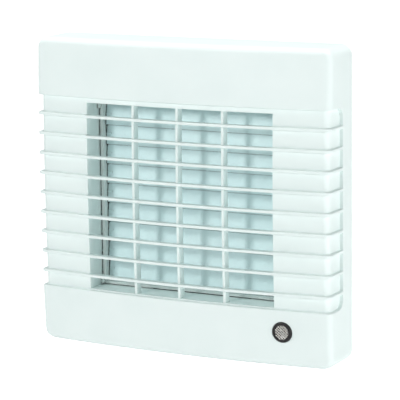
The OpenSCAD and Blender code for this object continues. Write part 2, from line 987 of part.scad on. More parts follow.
module cable_clamp() {
    color("#F2F2EE")
        translate([clamp_at[0][0], 0, cable_at[1]])
            difference() {
                union() {
                    block([-3.5, -clamp_seat - 2, -clamp_z - 3.5], [3.5, -clamp_seat, clamp_z + 3.5]);
                    block([-3.5, -clamp_seat - 6, -4.2], [3.5, -clamp_seat, 4.2]);
                }
                block([-5, -clamp_seat - 4.6, -3], [5, -clamp_seat + 1, 3]);
                at([[0, clamp_z], [0, -clamp_z]])
                    rod(screw_way_r, -clamp_seat - 5, 8);
            }
}

module clamp_screws() {
    color("#B9BDC0")
        at(clamp_at)
            screw(small_r, small_head_r, small_head_t, -clamp_seat - 2, 7);
}

base_plate();
spigot();
wall_gasket();
fan_frame();
fan_screws();
stator_core();
stator_coils();
motor_board();
front_bearing();
rear_bearing();
motor_shaft();
rotor_cup();
rotor_magnet();
impeller();
shaft_clip();
fan_side_filter();
heat_core();
core_seals();
wall_side_filter();
core_retainer();
shutter_frame();
shutter_blade_1();
shutter_blade_2();
shutter_blade_3();
shutter_blade_4();
shutter_blade_5();
shutter_blade_6();
shutter_blade_7();
shutter_blade_8();
shutter_blade_9();
shutter_link();
actuator_body();
actuator_plunger();
actuator_screws();
shutter_screws();
control_board();
board_screws();
transformer();
relay();
capacitors();
board_chips();
trimmer_bases();
timer_knob();
humidity_knob();
sensor_holder();
sensor_bezel();
sensor_mesh();
sensor_element();
terminal_block();
terminal_screws();
cable_grommet();
cable_clamp();
clamp_screws();
front_cover();
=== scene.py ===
"""Visual model of a wall ventilator with heat recovery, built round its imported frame.

Sizes are in millimetres until a piece is made. The wall is at Y = 0, the room at -Y, and Z is up.
"""

import math

import bmesh
import bpy
from mathutils import Matrix, Vector


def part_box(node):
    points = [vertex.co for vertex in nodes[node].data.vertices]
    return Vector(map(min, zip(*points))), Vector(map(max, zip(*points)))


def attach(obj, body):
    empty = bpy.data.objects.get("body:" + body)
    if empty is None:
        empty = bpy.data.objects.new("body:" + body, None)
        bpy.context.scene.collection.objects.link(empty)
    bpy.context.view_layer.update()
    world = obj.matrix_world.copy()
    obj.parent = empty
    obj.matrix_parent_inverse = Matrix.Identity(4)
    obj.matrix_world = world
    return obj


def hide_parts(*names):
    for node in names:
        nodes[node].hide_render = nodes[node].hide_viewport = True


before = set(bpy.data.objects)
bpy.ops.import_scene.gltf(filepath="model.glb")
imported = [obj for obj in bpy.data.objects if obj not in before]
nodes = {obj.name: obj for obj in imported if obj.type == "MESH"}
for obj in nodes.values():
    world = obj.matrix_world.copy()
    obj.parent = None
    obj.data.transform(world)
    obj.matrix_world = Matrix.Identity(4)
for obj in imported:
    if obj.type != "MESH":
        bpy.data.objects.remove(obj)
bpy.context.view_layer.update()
MM = 0.001

# front cover
HALF_W = 90.0
HALF_H = 86.5
DEPTH = 34.49
# radii of the front's crown, seen from above and from the side
PLAN_R = 752.7
SIDE_R = 1559.9
# radii of the outline's corners and of the front's edge
CORNER_R = 6.0
EDGE_R = 3.6
BACK_Y = -0.3
# distance from the outer form to the cavity's
CAVITY = 4.0
# the ribbed recess, which ends on the sides at SIDE_BAND_Y
RECESS = 2.0
RECESS_TOP = 54.0
RECESS_BOTTOM = -54.8
SIDE_BAND_Y = -12.4
RECESS_END_R = 5.0
# steps of the mesh along half a level cut: across the opening, beside it, round the edge and down the side
FRONT_STEPS = 8
OUTER_STEPS = 7
FILLET_STEPS = 7
SIDE_STEPS = 5
PLAIN_SIDE_STEPS = 11
# how the sides step out behind the ribs, as (share of the recess, distance behind its end)
SIDE_STEP_OUT = ((0.12, 0.22), (0.8, 0.32), (0.96, 0.5))
SIDE_STEP_DEEP = 0.9

# grille
OPEN_X = 56.9
OPEN_TOP = 51.3
OPEN_BOTTOM = -54.1
RIBS = 9
RIB_PITCH = 11.26
RIB_MID_Z = -1.4
SLAT_DEPTH = 4.8
BARS = (-27.4, 0.0, 27.4)
BAR_SETBACK = 2.6
# keeps the faces of the skin and of what meets it from lying in one plane
HAIR = 0.02
TUNNEL_T = 1.8
TUNNEL_BACK = -15.6
# a rib's flank, as (distance from its middle, inset): slightly tapered, eased at the tip and the root
RIB_FLANK = ((1.45, 2.0), (1.2, 1.93), (1.04, 1.7), (0.8, 0.3), (0.72, 0.12), (0.52, 0.0))
# half sections of a slat and of an upright bar, as (half thickness, depth behind the front)
SLAT_FLANK = ((0.5, 0.0), (0.68, 0.14), (0.74, 0.4), (0.62, SLAT_DEPTH - 0.3), (0.45, SLAT_DEPTH))
BAR_FLANK = ((0.42, 0.0), (0.68, 0.16), (0.78, 0.5), (0.7, 5.2), (0.5, 5.5))

# sensor
SENSOR = (62.0, -67.0)
SENSOR_HOLE_R = 5.8
BEZEL_R = 5.5
BEZEL_LIP_R = 4.0
BEZEL_BORE_R = 3.3

# fan
HUB_R = 20.0
FAN_R = 56.0
HUB_FRONT = -2.2
HUB_LEN = 15.0
FAN_BLADES = 7
HUB_NOSE_R = 3.0
CUP_R = HUB_R - 1.6
COILS = 6

# foam
GASKET_IN = 62.55
SEAL_W = 4.0
SEAL_GAP = 0.05

# smallest radius of a turned profile, in place of a point on the axis
ON_AXIS = 0.001


# ---------- materials ----------

# painted shade for creases and narrow gaps: how far ambient occlusion looks, in millimetres, and the dark
# colour it mixes in
CREASE_SHADE_REACH = 1.6
PAINTED_CREASE_SHADE = "#141A20"
NYLON_IOR = 1.53
WHITE = (1.0, 1.0, 1.0, 1.0)


def linear(code):
    """sRGB hex to a linear colour with alpha."""
    channels = [int(code[i : i + 2], 16) / 255 for i in (1, 3, 5)]
    return [c / 12.92 if c <= 0.04045 else ((c + 0.055) / 1.055) ** 2.4 for c in channels] + [1.0]


def add(tree, kind, inputs=(), **settings):
    """Adds a node with its settings, and fills or links its inputs."""
    made = tree.nodes.new(kind)
    for name, value in settings.items():
        setattr(made, name, value)
    for socket, value in dict(inputs).items():
        if isinstance(value, bpy.types.NodeSocket):
            tree.links.new(value, made.inputs[socket])
        else:
            made.inputs[socket].default_value = value
    return made


def per_mm(size):
    """Texture scale that makes one feature about size millimetres across."""
    return 1.0 / (size * MM)


def start(name):
    """An empty material: its tree, its shader and the piece's own coordinates."""
    material = bpy.data.materials.new(name)
    material.use_nodes = True
    tree = material.node_tree
    tree.nodes.clear()
    shader = add(tree, "ShaderNodeBsdfPrincipled")
    add(tree, "ShaderNodeOutputMaterial", {"Surface": shader.outputs[0]})
    place = add(tree, "ShaderNodeTexCoord").outputs["Object"]
    return material, tree, shader, place


def blend_colours(tree, low, high, amount):
    mix = add(tree, "ShaderNodeMix", {0: amount, 6: linear(low), 7: linear(high)}, data_type="RGBA")
    return mix.outputs[2]


def spread(tree, value, low, high, start_at=0.3, end_at=0.7):
    """Carries a noise value from its usual span to the span low to high."""
    bounds = {"Value": value, "From Min": start_at, "From Max": end_at, "To Min": low, "To Max": high}
    return add(tree, "ShaderNodeMapRange", bounds).outputs[0]


def moulded(name, light, dark, rough, grain, depth, coat=0.0, ior=1.49, flow=28.0, dust_and_crease_shade=None):
    """Injection-moulded plastic: an even spark-eroded grain and faint cloudy flow in the colour.

    The real grain is finer than the 0.3 to 0.6 mm drawn, which is as coarse as it needs to show.
    The colour given for creases is painted shade, mixed in where ambient occlusion finds creases and narrow
    gaps.
    """
    material, tree, shader, place = start(name)
    cloud = add(tree, "ShaderNodeTexNoise", {"Vector": place, "Scale": per_mm(flow), "Detail": 3.0})
    grit = add(tree, "ShaderNodeTexNoise", {"Vector": place, "Scale": per_mm(grain), "Detail": 4.0})
    amount = spread(tree, cloud.outputs[0], 0.0, 1.0)
    colour = blend_colours(tree, light, dark, amount)
    if dust_and_crease_shade:
        # painted shade: the colour turns to the dark crease colour where ambient occlusion finds surfaces
        # close by
        crease = add(tree, "ShaderNodeAmbientOcclusion", {"Distance": CREASE_SHADE_REACH * MM}, samples=12)
        clear = spread(tree, crease.outputs["AO"], 0.0, 1.0, 0.5, 0.7)
        crease_shaded = {0: clear, 6: linear(dust_and_crease_shade), 7: colour}
        colour = add(tree, "ShaderNodeMix", crease_shaded, data_type="RGBA").outputs[2]
    tree.links.new(colour, shader.inputs["Base Color"])
    tree.links.new(spread(tree, grit.outputs[0], rough - 0.05, rough + 0.05), shader.inputs["Roughness"])
    bump = add(tree, "ShaderNodeBump", {"Height": grit.outputs[0], "Strength": 0.35, "Distance": depth * MM})
    tree.links.new(bump.outputs[0], shader.inputs["Normal"])
    shader.inputs["IOR"].default_value = ior
    shader.inputs["Coat Weight"].default_value = coat
    shader.inputs["Coat Roughness"].default_value = 0.2
    return material


def metal(name, light, dark, rough, grain, depth, stretch=(1.0, 1.0, 1.0)):
    """Bare or plated metal: fine scratches along the way it was worked, and uneven dullness.

    Real scratches are finer than the 0.2 to 0.5 mm drawn, which is as coarse as they need to show.
    """
    material, tree, shader, place = start(name)
    along = add(tree, "ShaderNodeVectorMath", {0: place, 1: stretch}, operation="MULTIPLY").outputs[0]
    lines = add(tree, "ShaderNodeTexNoise", {"Vector": along, "Scale": per_mm(grain), "Detail": 5.0})
    patches = add(tree, "ShaderNodeTexVoronoi", {"Vector": place, "Scale": per_mm(2.4)})
    tone = spread(tree, patches.outputs["Distance"], 0.0, 1.0, 0.1, 0.8)
    tree.links.new(blend_colours(tree, light, dark, tone), shader.inputs["Base Color"])
    tree.links.new(spread(tree, lines.outputs[0], rough - 0.08, rough + 0.08), shader.inputs["Roughness"])
    bump = add(tree, "ShaderNodeBump", {"Height": lines.outputs[0], "Strength": 0.3, "Distance": depth * MM})
    tree.links.new(bump.outputs[0], shader.inputs["Normal"])
    shader.inputs["Metallic"].default_value = 1.0
    return material


def open_foam(name, light, dark, cell, depth):
    """Foam: open cells that swallow light, with paler cell walls."""
    material, tree, shader, place = start(name)
    grid = {"Vector": place, "Scale": per_mm(cell)}
    cells = add(tree, "ShaderNodeTexVoronoi", grid, feature="DISTANCE_TO_EDGE")
    pale = spread(tree, cells.outputs["Distance"], 1.0, 0.0, 0.02, 0.3)
    tree.links.new(blend_colours(tree, dark, light, pale), shader.inputs["Base Color"])
    bump = add(tree, "ShaderNodeBump", {"Height": pale, "Strength": 0.9, "Distance": depth * MM})
    tree.links.new(bump.outputs[0], shader.inputs["Normal"])
    shader.inputs["Roughness"].default_value = 0.95
    shader.inputs["Sheen Weight"].default_value = 0.25
    shader.inputs["IOR"].default_value = 1.4
    return material


def circuit_board(name):
    """Glass-epoxy board under green solder mask: paler copper tracks show through, with a wet gloss."""
    material, tree, shader, place = start(name)
    cells = {"Vector": place, "Scale": per_mm(5.2), "Randomness": 0.9}
    tracks = add(tree, "ShaderNodeTexVoronoi", cells, feature="DISTANCE_TO_EDGE", distance="MANHATTAN")
    line = spread(tree, tracks.outputs["Distance"], 1.0, 0.0, 0.10, 0.14)
    tree.links.new(blend_colours(tree, "#1F5A38", "#3E8A56", line), shader.inputs["Base Color"])
    bump = add(tree, "ShaderNodeBump", {"Height": line, "Strength": 0.5, "Distance": 0.04 * MM})
    tree.links.new(bump.outputs[0], shader.inputs["Normal"])
    shader.inputs["Roughness"].default_value = 0.3
    shader.inputs["Coat Weight"].default_value = 0.5
    shader.inputs["Coat Roughness"].default_value = 0.12
    return material


def fired_ceramic(name):
    """Extruded cordierite: dry, sandy walls with tan specks and fine drag lines along the channels."""
    material, tree, shader, place = start(name)
    sand = add(tree, "ShaderNodeTexNoise", {"Vector": place, "Scale": per_mm(0.8), "Detail": 6.0})
    drag = add(tree, "ShaderNodeVectorMath", {0: place, 1: (1.0, 0.06, 1.0)}, operation="MULTIPLY").outputs[0]
    lines = add(tree, "ShaderNodeTexNoise", {"Vector": drag, "Scale": per_mm(0.6), "Detail": 3.0})
    speck = spread(tree, sand.outputs[0], 0.0, 1.0, 0.45, 0.7)
    tree.links.new(blend_colours(tree, "#DDD2C1", "#BBA88D", speck), shader.inputs["Base Color"])
    both = {0: sand.outputs[0], 1: lines.outputs[0]}
    height = add(tree, "ShaderNodeMath", both, operation="ADD").outputs[0]
    bump = add(tree, "ShaderNodeBump", {"Height": height, "Strength": 0.6, "Distance": 0.12 * MM})
    tree.links.new(bump.outputs[0], shader.inputs["Normal"])
    shader.inputs["Roughness"].default_value = 0.9
    return material


def film_wrap(name, light, dark, rough):
    """Shrunk or wound film: a glossy skin with faint bands where the layers lap."""
    material, tree, shader, place = start(name)
    laps = {"Vector": place, "Scale": per_mm(18.0), "Distortion": 1.5}
    bands = add(tree, "ShaderNodeTexWave", laps, bands_direction="Y")
    dust_and_crease_shade = add(tree, "ShaderNodeTexNoise", {"Vector": place, "Scale": per_mm(1.2), "Detail": 4.0})
    tree.links.new(blend_colours(tree, light, dark, bands.outputs[1]), shader.inputs["Base Color"])
    tree.links.new(spread(tree, dust_and_crease_shade.outputs[0], rough - 0.06, rough + 0.08), shader.inputs["Roughness"])
    bump = add(tree, "ShaderNodeBump", {"Height": bands.outputs[1], "Strength": 0.2, "Distance": 0.05 * MM})
    tree.links.new(bump.outputs[0], shader.inputs["Normal"])
    shader.inputs["Coat Weight"].default_value = 0.3
    return material


# ABS, moulded and satin: clean cool white with a soft sheen, and hardly a gloss on the cover
cover_abs = moulded("moulded_white_abs_cover", "#EDF8F6", "#E9F5F3", 0.55, 0.5, 0.012, coat=0.03)
# the same ABS where it isn't seen from the room: greyer, with a plainer skin
base_abs = moulded("moulded_offwhite_abs_base", "#E6EAE8", "#DDE3E0", 0.5, 0.6, 0.03)
# the shutter's frame, with painted shade in its corners and creases
shutter_abs = moulded("moulded_white_abs_shutter", "#EAF2F0", "#E2ECEA", 0.42, 0.5, 0.015, dust_and_crease_shade=PAINTED_CREASE_SHADE)
# thin pale ABS of the blades: bluer and glossier than the cover, with a painted shadow line at each lap
blade_abs = moulded("moulded_pale_abs_blade", "#DAF1F2", "#D1EBED", 0.3, 0.5, 0.01, coat=0.15, dust_and_crease_shade=PAINTED_CREASE_SHADE)
# nylon with glass fibre: near black, dry, with a coarse mottled skin
fan_nylon = moulded(
    "moulded_glass_filled_nylon_fan", "#33373B", "#292C30", 0.55, 0.5, 0.05, ior=NYLON_IOR, flow=9.0
)
# the impeller's mould was finer: a little smoother and darker than the frame
impeller_nylon = moulded(
    "moulded_glass_filled_nylon_impeller", "#2F3236", "#25282B", 0.45, 0.5, 0.03, ior=NYLON_IOR, flow=9.0
)
# acetal: milky grey with a slippery half gloss
link_acetal = moulded("moulded_acetal_link", "#CFD7D5", "#C2CCC9", 0.38, 0.5, 0.012, ior=1.48, flow=12.0)
# polyester: a warm dense white
polyester = moulded("moulded_polyester_case", "#F3F3EF", "#E9E9E3", 0.45, 0.5, 0.02, ior=1.57, flow=12.0)
# plain nylon: cream white
terminal_nylon = moulded(
    "moulded_nylon_terminal", "#F0F0EA", "#E6E6DD", 0.42, 0.5, 0.02, ior=NYLON_IOR, flow=8.0
)
# relay case: black with a smooth mould finish that catches a highlight
relay_case = moulded("moulded_relay_case", "#282B2F", "#1E2124", 0.32, 0.6, 0.015, flow=8.0)
# chip epoxy: black, matt and finely sandy
chip_epoxy = moulded("moulded_chip_epoxy", "#232527", "#18191B", 0.62, 0.3, 0.03, ior=1.55, flow=3.0)
# trimmers: strong blue cases with white knobs, both smooth
trimmer_blue = moulded("moulded_blue_nylon_trimmer", "#3157AB", "#284A96", 0.35, 0.5, 0.012, flow=5.0)
trimmer_white = moulded("moulded_white_nylon_knob", "#F5F5F1", "#EAEAE4", 0.35, 0.4, 0.012, flow=4.0)
# black nylon of the bezel: a dark ring with a soft edge light
bezel_nylon = moulded("moulded_black_nylon_bezel", "#151413", "#0E0D0D", 0.5, 0.4, 0.012, flow=4.0)
# bonded ferrite, pressed: dull charcoal with a gritty face
ferrite = moulded("pressed_bonded_ferrite", "#424246", "#343438", 0.7, 0.4, 0.06, ior=1.6, flow=5.0)
# rubber: soft black that takes no highlight
rubber = moulded("moulded_rubber_grommet", "#2B2D2F", "#222426", 0.72, 0.5, 0.04, ior=1.5, flow=6.0)
# zinc plating: cool bright grey with a slight spangle
zinc_steel = metal("zinc_plated_steel", "#C3C7CA", "#A9AEB2", 0.32, 0.4, 0.01)
# ground steel: nearly a mirror, with fine lines round the axis
bearing_steel = metal(
    "ground_bearing_steel", "#CDD1D4", "#BCC0C4", 0.16, 0.25, 0.004, stretch=(0.2, 1.0, 0.2)
)
# deep-drawn steel: bright, with long lines along the draw
rotor_steel = metal("deep_drawn_steel", "#B3B7BB", "#9DA1A5", 0.28, 0.5, 0.012, stretch=(1.0, 0.08, 1.0))
# stacked sheets: lines across the stack
stator_steel = metal(
    "stacked_electrical_steel", "#9A9EA2", "#74787C", 0.42, 0.35, 0.05, stretch=(0.05, 1.0, 0.05)
)
# blued spring steel: a darker, cooler grey
spring_steel = metal("blued_spring_steel", "#787C80", "#5F6367", 0.34, 0.3, 0.008)
# plated brass: pale yellow
terminal_brass = metal("plated_brass_screw", "#D3BE86", "#BBA368", 0.3, 0.35, 0.01)
# woven stainless wire: light and silvery, dull enough not to sparkle
sensor_wire = metal("woven_stainless_wire", "#FAF9F5", "#EEECE6", 0.46, 0.2, 0.005)
# enamelled copper: glossy orange brown
enamelled_copper = metal("enamelled_copper_wire", "#C46C34", "#A4531F", 0.22, 0.3, 0.006)
# filter foam: open grey mesh, dark in its cells
filter_foam = open_foam("reticulated_filter_foam", "#767C82", "#2B2F33", 1.1, 0.7)
# closed cells are finer than shown; they are drawn at 0.6 mm so that they can be seen
seal_foam = open_foam("closed_cell_seal_foam", "#4A4E52", "#303336", 0.6, 0.12)
# circuit board: green gloss with paler tracks
board_epoxy = circuit_board("glass_epoxy_board")
# cordierite: dry sandy cream
core_ceramic = fired_ceramic("extruded_cordierite")
# polyester tape: yellow and glossy, banded where it laps
transformer_tape = film_wrap("polyester_winding_tape", "#E0BC45", "#CFA62E", 0.28)
# shrunk sleeve: dark blue and glossy
capacitor_sleeve = film_wrap("shrunk_capacitor_sleeve", "#31436A", "#263556", 0.25)


# ---------- making pieces ----------


class Form:
    """Points in millimetres and faces of one piece, gathered part by part."""

    def __init__(self):
        self.points = []
        self.faces = []

    def put(self, points, faces):
        """Adds points, and faces numbered from the first of them."""
        first = len(self.points)
        self.points += [tuple(p) for p in points]
        self.faces += [tuple(first + i for i in face) for face in faces]
        return self

    def loft(self, loops, closed=False):
        """Skin over loops of equal length, capped at both ends unless it closes on itself."""
        n, m = len(loops[0]), len(loops)
        faces = []
        for j in range(m if closed else m - 1):
            k = (j + 1) % m
            faces += [(j * n + i, j * n + (i + 1) % n, k * n + (i + 1) % n, k * n + i) for i in range(n)]
        if not closed:
            faces += [tuple(range(n))[::-1], tuple((m - 1) * n + i for i in range(n))]
        return self.put([p for loop in loops for p in loop], faces)

    def lathe(self, profile, around=96, centre=(0.0, 0.0)):
        """Turns a closed (radius, y) profile about the Y axis."""
        loops = []
        for i in range(around):
            a = math.tau * i / around
            loops.append([(centre[0] + r * math.cos(a), y, centre[1] + r * math.sin(a)) for r, y in profile])
        return self.loft(loops, closed=True)

    def wire(self, path, radius, sides=6, closed=False):
        """Round wire along a path of points."""
        path = [Vector(p) for p in path]
        n = len(path)
        loops = []
        across = None
        for i, point in enumerate(path):
            before = path[i - 1] if closed or i else path[0]
            after = path[(i + 1) % n] if closed or i < n - 1 else path[-1]
            ahead = (after - before).normalized()
            if across is None:
                across = ahead.orthogonal().normalized()
            across = (across - ahead * across.dot(ahead)).normalized()
            up = ahead.cross(across)
            turn = [math.tau * s / sides for s in range(sides)]
            loops.append([point + (across * math.cos(t) + up * math.sin(t)) * radius for t in turn])
        return self.loft(loops, closed)


def finish_mesh(mesh, corner=35.0):
    """Joins split points, points the faces outwards and shades smooth up to the given angle."""
    work = bmesh.new()
    work.from_mesh(mesh)
    bmesh.ops.remove_doubles(work, verts=work.verts, dist=1e-7)
    bmesh.ops.dissolve_degenerate(work, edges=work.edges, dist=1e-7)
    bmesh.ops.recalc_face_normals(work, faces=work.faces)
    for face in work.faces:
        face.smooth = True
    limit = math.radians(corner)
    for edge in work.edges:
        edge.smooth = len(edge.link_faces) == 2 and edge.calc_face_angle(0.0) < limit
    work.to_mesh(mesh)
    work.free()


def piece(name, form, body, material, stands_for=(), corner=35.0, weigh=True):
    """One named piece from a form, riding on its body."""
    mesh = bpy.data.meshes.new(name)
    mesh.from_pydata([[c * MM for c in p] for p in form.points], [], form.faces)
    finish_mesh(mesh, corner)
    made = bpy.data.objects.new(name, mesh)
    bpy.context.scene.collection.objects.link(made)
    made.data.materials.append(material)
    if weigh:
        even = made.modifiers.new("even_shading", "WEIGHTED_NORMAL")
        even.keep_sharp = True
    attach(made, body)
    if stands_for:
        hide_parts(*stands_for)
    return made


def dress(name, material, edge):
    """Gives a carried-over piece its material and small rounded edges."""
    made = nodes[name]
    made.data.materials.clear()
    made.data.materials.append(material)
    weld = made.modifiers.new("weld", "WELD")
    weld.merge_threshold = 0.0005 * MM
    ease = made.modifiers.new("eased_edges", "BEVEL")
    ease.width = edge * MM
    ease.segments = 2
    ease.limit_method = "ANGLE"
    ease.angle_limit = math.radians(40)
    ease.use_clamp_overlap = True
    ease.harden_normals = False
    even = made.modifiers.new("even_shading", "WEIGHTED_NORMAL")
    even.keep_sharp = False
    for polygon in made.data.polygons:
        polygon.use_smooth = True


# ---------- front cover ----------


def sag(radius, x):
    """How far an arc of the radius falls back at x from its middle."""
    return radius - math.sqrt(radius * radius - x * x)


def row_shape(z, inset):
    """Half width, and how far the front falls back, at height z of the form shrunk by inset."""
    high = HALF_H - inset
    corner = max(CORNER_R - inset, 1.0)
    over = min(max(abs(z) - (high - corner), 0.0), corner)
    half = HALF_W - inset - corner + math.sqrt(max(corner * corner - over * over, 0.0))
    lean = math.asin((high - EDGE_R) / SIDE_R)
    last = high - EDGE_R * (1 - math.sin(lean))
    if abs(z) <= last:
        return half, sag(SIDE_R, abs(z))
    rise = min(abs(z) - (last - EDGE_R * math.sin(lean)), EDGE_R)
    return half, sag(SIDE_R, last) + EDGE_R * math.cos(lean) - math.sqrt(max(EDGE_R**2 - rise**2, 0.0))


def front_y(x, z, inset=0.0):
    """Y of the crowned front at (x, z)."""
    return -DEPTH + inset + sag(PLAN_R, x) + row_shape(z, inset)[1]


def half_row(z, inset, stepped):
    """(x, y) along half of a level cut through the cover, from the middle of the front to the back edge.

    Where it is stepped, the side comes out by the inset again behind the ribs.
    """
    half, fall = row_shape(z, inset)
    edge = EDGE_R
    first = half - edge
    for _ in range(4):
        first = half - edge * (1 - first / PLAN_R)
    lean = math.asin(first / PLAN_R)
    base = -DEPTH + inset + fall

    def at(x):
        return (x, base + sag(PLAN_R, x))

    points = [at(OPEN_X * i / FRONT_STEPS) for i in range(FRONT_STEPS + 1)]
    points += [at(OPEN_X + (first - OPEN_X) * i / OUTER_STEPS) for i in range(1, OUTER_STEPS + 1)]
    cx, cy = first - edge * math.sin(lean), base + sag(PLAN_R, first) + edge * math.cos(lean)
    for i in range(1, FILLET_STEPS + 1):
        a = lean + (math.pi / 2 - lean) * i / FILLET_STEPS
        points.append((cx + edge * math.sin(a), cy - edge * math.cos(a)))
    if not stepped:
        down = range(1, PLAIN_SIDE_STEPS + 1)
        return points + [(half, cy + (BACK_Y - cy) * i / PLAIN_SIDE_STEPS) for i in down]
    over = min(max(z - (RECESS_TOP - RECESS_END_R), RECESS_BOTTOM + RECESS_END_R - z, 0.0), RECESS_END_R)
    band = SIDE_BAND_Y - RECESS_END_R + math.sqrt(RECESS_END_R**2 - over**2)
    stop = band - 0.5
    points += [(half, cy + (stop - cy) * i / SIDE_STEPS) for i in range(1, SIDE_STEPS + 1)]
    outer = half + inset
    points += [(half + inset * share, stop + back) for share, back in SIDE_STEP_OUT]
    deep = stop + SIDE_STEP_DEEP
    return points + [(outer, deep), (outer, (deep + BACK_Y) / 2), (outer, BACK_Y)]


def whole_row(z, inset, stepped):
    """A level cut from one back edge round the front to the other."""
    half = half_row(z, inset, stepped)
    return [(-x, y, z) for x, y in half[:0:-1]] + [(x, y, z) for x, y in half]


def rib_height(k):
    """Height of the middle of rib k, counted from the top."""
    return RIB_MID_Z + RIB_PITCH * ((RIBS - 1) / 2 - k)


def cover_rows():
    """(z, inset) of every level cut, from the bottom up."""
    turn = range(10, 90, 8)
    ends = [HALF_H - CORNER_R + CORNER_R * math.sin(math.radians(a)) for a in turn] + [HALF_H]
    rows = [(-z, 0.0) for z in reversed(ends)]
    rows += [(z, 0.0) for z in (-HALF_H + CORNER_R, -75.0, -70.0, -65.0, -60.0, -55.9, -55.6)]
    rows += [(RECESS_BOTTOM - 0.35, 0.12), (RECESS_BOTTOM - 0.12, 0.4), (RECESS_BOTTOM, 1.75)]
    rows += [(z, RECESS) for z in (RECESS_BOTTOM + 0.25, OPEN_BOTTOM, -53.0, -51.5, -49.8)]
    for k in reversed(range(RIBS)):
        z = rib_height(k)
        rows += [(z - d, inset) for d, inset in RIB_FLANK]
        rows += [(z + d, inset) for d, inset in reversed(RIB_FLANK)]
        if k:
            rows.append((z + RIB_PITCH / 2, RECESS))
    rows += [(z, RECESS) for z in (47.0, 49.0, 50.2, OPEN_TOP, 52.4, 53.2, RECESS_TOP - 0.25)]
    rows += [(RECESS_TOP, 1.75), (RECESS_TOP + 0.12, 0.4), (RECESS_TOP + 0.4, 0.12)]
    rows += [(z, 0.0) for z in (RECESS_TOP + 0.8, 57.0, 62.0, 67.0, 72.0, 77.0, HALF_H - CORNER_R)]
    return rows + [(z, 0.0) for z in ends]


def cover_shell():
    """The cover's skin: crowned front with its ribbed recess, hollow behind, open at the grille."""
    rows = cover_rows()
    outer = [whole_row(z, inset, stepped=True) for z, inset in rows]
    # behind the recess the cavity has the skin's own heights, and past it they draw in to the cavity's ends
    shared = 56.5
    cavity_end = HALF_H - CAVITY

    def inner_height(z):
        size = abs(z)
        if size > shared:
            size = shared + (size - shared) * (cavity_end - shared) / (HALF_H - shared)
        return math.copysign(size, z)

    inner = [whole_row(inner_height(z), CAVITY, stepped=False) for z, _ in rows]
    across, up = len(outer[0]), len(rows)
    middle = across // 2
    left, right = middle - FRONT_STEPS, middle + FRONT_STEPS
    bottom = next(j for j, (z, _) in enumerate(rows) if z == OPEN_BOTTOM)
    top = next(j for j, (z, _) in enumerate(rows) if z == OPEN_TOP)
    behind = across * up

    faces = []

    def hole(i, j):
        return left <= i < right and bottom <= j < top

    def bridge(a, b):
        """Joins the edge from a to b of the outer face to the same edge of the inner one."""
        faces.append((a, b, behind + b, behind + a))

    for j in range(up - 1):
        for i in range(across - 1):
            if not hole(i, j):
                a, b = j * across + i, (j + 1) * across + i
                faces.append((a, a + 1, b + 1, b))
                faces.append((behind + b, behind + b + 1, behind + a + 1, behind + a))
        for i in (0, across - 1):
            bridge(j * across + i, (j + 1) * across + i)
    for j in range(bottom, top):
        for i in (left, right):
            bridge(j * across + i, (j + 1) * across + i)
    for i in range(left, right):
        for j in (bottom, top):
            bridge(j * across + i, j * across + i + 1)
    # the flat top and bottom, each a fan of strips across one row
    for shift in (0, behind):
        for j in (0, up - 1):
            first = shift + j * across
            for i in range(middle):
                loop = (first + i, first + i + 1, first + across - 2 - i, first + across - 1 - i)
                faces.append(tuple(dict.fromkeys(loop)))
    for j in (0, up - 1):
        bridge(j * across, (j + 1) * across - 1)
    points = [p for row in outer for p in row] + [p for row in inner for p in row]
    return Form().put(points, faces)


def cover_slats(form):
    """The ribs where they cross the opening: blades with eased fronts, a little thinner at the back."""
    steps = 28
    reach = OPEN_X + 0.9
    for k in range(RIBS):
        z = rib_height(k)
        loops = []
        for i in range(steps + 1):
            x = -reach + 2 * reach * i / steps
            front = front_y(x, z, HAIR)
            upper = [(x, front + y, z + t) for t, y in SLAT_FLANK]
            lower = [(x, front + y, z - t) for t, y in reversed(SLAT_FLANK)]
            loops.append(upper + lower)
        form.loft(loops)


def cover_bars(form):
    """Upright bars behind the ribs, eased at the front."""
    steps = 20
    low, high = OPEN_BOTTOM - 0.6, OPEN_TOP + 0.6
    for x in BARS:
        loops = []
        for i in range(steps + 1):
            z = low + (high - low) * i / steps
            front = front_y(x, z) + BAR_SETBACK
            near = [(x + t, front + y, z) for t, y in BAR_FLANK]
            loops.append(near + [(x - t, front + y, z) for t, y in reversed(BAR_FLANK)])
        form.loft(loops)


def tunnel_ring(half, top, bottom):
    """(x, z) round a rectangle in even steps, from its upper left corner."""
    corners = ((-half, top), (half, top), (half, bottom), (-half, bottom))
    steps = 16
    ring = []
    for k, (x, z) in enumerate(corners):
        to_x, to_z = corners[(k + 1) % 4]
        ring += [(x + (to_x - x) * i / steps, z + (to_z - z) * i / steps) for i in range(steps)]
    return ring


def cover_tunnel(form):
    """Four thin walls that carry the opening back to the shutter."""
    inset = 3.6
    inner = tunnel_ring(OPEN_X + HAIR, OPEN_TOP + HAIR, OPEN_BOTTOM - HAIR)
    outer = tunnel_ring(OPEN_X + TUNNEL_T, OPEN_TOP + TUNNEL_T, OPEN_BOTTOM - TUNNEL_T)
    end = TUNNEL_BACK - 0.4
    loops = []
    for (xi, zi), (xo, zo) in zip(inner, outer):
        front = front_y(xi, zi) + inset
        tip = ((xi + xo) / 2, TUNNEL_BACK, (zi + zo) / 2)
        loops.append([(xi, front, zi), (xi, end, zi), tip, (xo, end, zo), (xo, front, zo)])
    form.loft(loops, closed=True)


def loose(name, form):
    """An object in the scene made of a form, in the form's own millimetres."""
    mesh = bpy.data.meshes.new(name)
    mesh.from_pydata(form.points, [], form.faces)
    finish_mesh(mesh)
    made = bpy.data.objects.new(name, mesh)
    bpy.context.scene.collection.objects.link(made)
    return made


